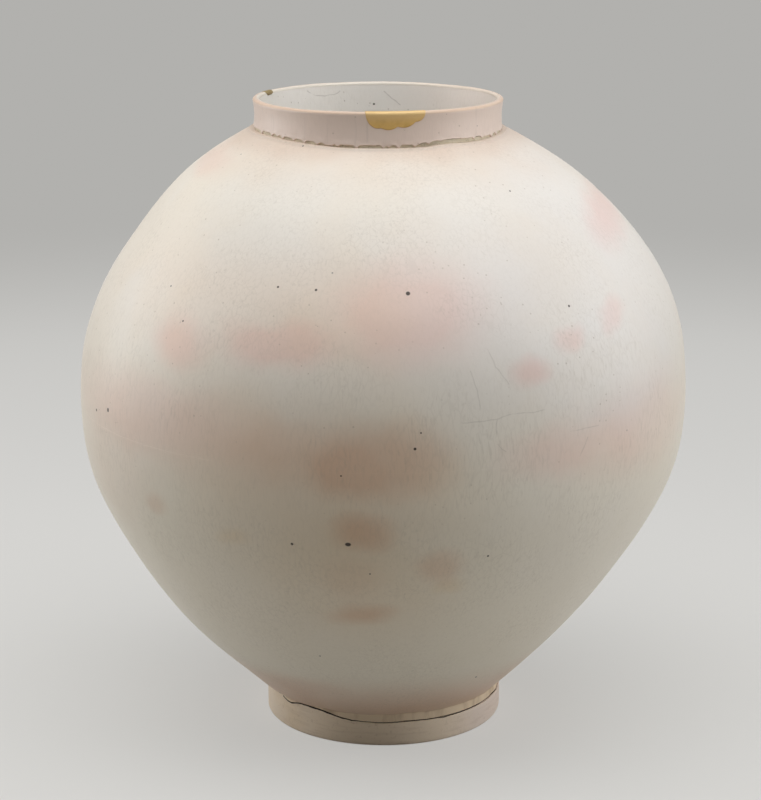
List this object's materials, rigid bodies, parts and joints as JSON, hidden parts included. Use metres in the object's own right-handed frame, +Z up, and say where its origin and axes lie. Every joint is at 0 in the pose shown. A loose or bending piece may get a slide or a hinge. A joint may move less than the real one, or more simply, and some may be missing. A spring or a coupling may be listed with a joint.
{
  "type": "moon jar",
  "caption": "Lopsided round white porcelain storage jar on a low bare foot ring, with a short upright collar; bowls luted rim to rim at the waist, lip chips filled with gold lacquer.",
  "frame": {"origin": "centre of the foot ring on the ground", "axes": "+Z up through the mouth, -Y towards the front, where the larger filled chip in the lip is, +X to the right seen from the front"},
  "size_m": [0.3832, 0.3832, 0.4],
  "materials": {
    "glazed_porcelain": "clear warm-white glaze over porcelain, crazed, with pink blushes and iron specks",
    "bare_clay": "unglazed fired clay, matte",
    "gold_lacquer": "gold powder in lacquer, satin"
  },
  "bodies": {
    "root": {"foot_ring": "bare_clay", "foot_slip": "bare_clay", "lower_bowl": "glazed_porcelain", "waist_slip": "glazed_porcelain", "upper_bowl": "glazed_porcelain", "neck_slip": "bare_clay", "mouth_collar": "glazed_porcelain", "front_lip_fill": "gold_lacquer", "rear_lip_fill": "gold_lacquer"}
  },
  "joints": []
}
